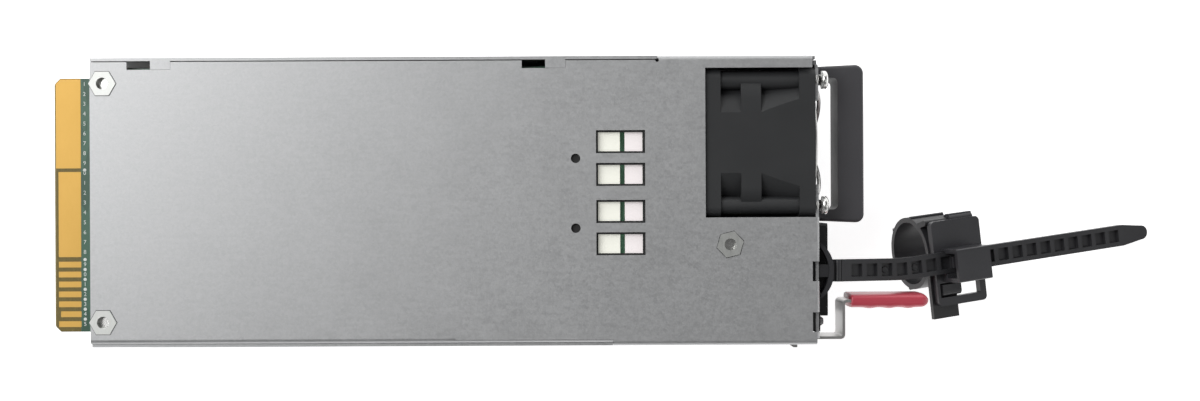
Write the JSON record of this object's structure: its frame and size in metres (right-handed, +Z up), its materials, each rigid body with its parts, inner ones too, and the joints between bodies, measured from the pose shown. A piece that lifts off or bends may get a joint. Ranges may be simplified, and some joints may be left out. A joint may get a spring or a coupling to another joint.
{
  "type": "hot swap server power supply",
  "caption": "Steel-cased slide-in server power supply with card edge, fan, pull handle, squeeze latch, mains inlet and a cord strap with a clip.",
  "frame": {"origin": "centre of the large resting face, the outer face of the cover", "axes": "+X towards the fan and handle end, -X the way the card edge enters the bay, +Y towards the fan side, +Z up from the cover to the board side plate"},
  "size_m": [0.2897, 0.0747, 0.0402],
  "materials": {
    "zinc_steel": "galvanised sheet with a fine spangle",
    "nickel_screw": "bright nickel plate",
    "circuit_board": "green solder mask, bare laminate at the card edge",
    "gold_contact": "gold plate",
    "black_film": "matt film",
    "cream_pad": "soft matt",
    "white_pad": "soft matt",
    "fan_plastic": "satin moulding",
    "rotor_plastic": "satin moulding",
    "machined_steel": "ground",
    "motor_iron": "laminated",
    "small_board": "solder mask",
    "nickel_wire": "nickel-plated wire",
    "handle_plastic": "fine matt moulding",
    "inlet_plastic": "satin moulding",
    "blade_brass": "nickel-plated brass",
    "smoked_lens": "smoked, glossy",
    "chip_white": "moulded",
    "nickel_spring": "nickel-plated spring steel",
    "red_grip": "satin vinyl",
    "strap_nylon": "satin nylon",
    "clip_nylon": "satin nylon",
    "capacitor_sleeve": "shrunk sleeve",
    "capacitor_can": "drawn can",
    "ferrite": "fired",
    "copper_wire": "enamelled copper",
    "copper_bar": "copper",
    "winding_tape": "polyester tape",
    "film_capacitor": "moulded case",
    "fuse_body": "ceramic tube",
    "relay_case": "moulded case",
    "header_plastic": "moulded",
    "heatsink_aluminium": "extruded",
    "transistor_body": "moulded"
  },
  "bodies": {
    "root": {"base_pan": "zinc_steel", "board_screws": "nickel_screw", "board_standoffs": "nickel_screw", "bulk_capacitors": "capacitor_sleeve", "choke_core": "ferrite", "choke_winding": "copper_wire", "control_board": "small_board", "cover": "zinc_steel", "cover_screws": "nickel_screw", "earth_blade": "blade_brass", "fan_bearings": "machined_steel", "fan_board": "small_board", "fan_guard": "nickel_wire", "fan_header": "header_plastic", "fan_housing": "fan_plastic", "fan_screws": "nickel_screw", "fan_stator": "motor_iron", "film_capacitors": "film_capacitor", "filter_choke": "ferrite", "handle": "handle_plastic", "inlet_housing": "inlet_plastic", "input_fuse": "fuse_body", "inrush_relay": "relay_case", "insulation_film": "black_film", "latch_rivet": "nickel_screw", "led_chip": "chip_white", "led_holder": "inlet_plastic", "led_lens": "smoked_lens", "line_blade": "blade_brass", "main_board": "circuit_board", "narrow_pad": "white_pad", "neutral_blade": "blade_brass", "output_busbars": "copper_bar", "output_capacitors": "capacitor_can", "power_contacts": "gold_contact", "primary_heatsink": "heatsink_aluminium", "primary_transistors": "transistor_body", "rear_panel": "zinc_steel", "resonant_inductor": "ferrite", "secondary_heatsink": "heatsink_aluminium", "secondary_transistors": "transistor_body", "signal_contacts": "gold_contact", "standby_transformer": "winding_tape", "strap_anchor": "strap_nylon", "transformer_core": "ferrite", "transformer_windings": "winding_tape", "wide_pad": "cream_pad"},
    "fan": {"fan_rotor": "rotor_plastic", "fan_shaft": "machined_steel"},
    "latch": {"latch_spring": "nickel_spring", "latch_grip": "red_grip"},
    "strap": {"strap": "strap_nylon"},
    "clip": {"cord_clip": "clip_nylon"},
    "jaw": {"clip_jaw": "clip_nylon"}
  },
  "joints": [
    {"name": "fan_spin", "type": "hinge", "parent": "root", "child": "fan", "pos_m": [0.075, 0.01465, 0.02], "axis": [1, 0, 0], "continuous": true},
    {"name": "latch_press", "type": "hinge", "parent": "root", "child": "latch", "pos_m": [0.05, -0.03545, 0.0268], "axis": [0, 0, 1], "range_deg": [0, 2.2], "stiffness_Nm_per_rad": 10, "springref_deg": -0.57},
    {"name": "strap_lift", "type": "hinge", "parent": "root", "child": "strap", "pos_m": [0.0977, -0.0181, 0.0351], "axis": [0, -1, 0], "range_deg": [0, 60]},
    {"name": "clip_slide", "type": "slide", "parent": "strap", "child": "clip", "axis": [0.9332, 0.1184, -0.3393], "range_m": [0, 0.036]},
    {"name": "jaw_open", "type": "hinge", "parent": "clip", "child": "jaw", "pos_m": [0.13157, -0.00521, 0.01847], "axis": [0.9332, 0.1184, -0.3393], "range_deg": [0, 90]}
  ]
}
